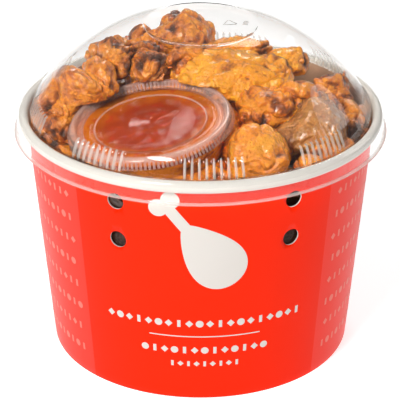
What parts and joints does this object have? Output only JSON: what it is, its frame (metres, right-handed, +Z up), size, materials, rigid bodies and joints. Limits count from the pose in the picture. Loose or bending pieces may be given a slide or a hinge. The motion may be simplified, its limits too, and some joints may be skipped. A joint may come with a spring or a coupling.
{
  "type": "bucket of chicken wings",
  "caption": "Round tapered paper bucket of glazed chicken wings with a clear pot of dipping sauce in the heap, under a clear domed snap lid.",
  "frame": {"origin": "centre of the base, on the table", "axes": "+Z up along the bucket's axis, the printed front faces -Y, +X to the right seen from the front"},
  "size_m": [0.1748, 0.1748, 0.1574],
  "materials": {
    "printed_board": "coated board, printed red with plain white shapes, white rolled rim and inside",
    "plain_board": "uncoated white board",
    "clear_plastic": "thin clear thermoformed plastic",
    "sauce": "glossy translucent red-orange chilli sauce",
    "glazed_wing": "glazed roast skin, golden to dark brown, wet looking"
  },
  "bodies": {
    "root": {"bucket_wall": "printed_board", "bucket_base": "plain_board", "dome_lid": "clear_plastic", "dip_pot": "clear_plastic", "dip_pot_lid": "clear_plastic", "dip_sauce": "sauce", "wing_large_flat": "glazed_wing", "wing_top_drumette": "glazed_wing", "wing_curled_joint": "glazed_wing", "wing_left_drumette": "glazed_wing", "wing_crusty_knuckle": "glazed_wing", "wing_dark_flat": "glazed_wing", "wing_right_flat": "glazed_wing", "wing_right_drumette": "glazed_wing", "wing_front_drumette": "glazed_wing", "wing_upright_tip": "glazed_wing", "wing_far_right_flat": "glazed_wing", "wing_front_right_flat": "glazed_wing", "wing_heap": "glazed_wing"}
  },
  "joints": []
}
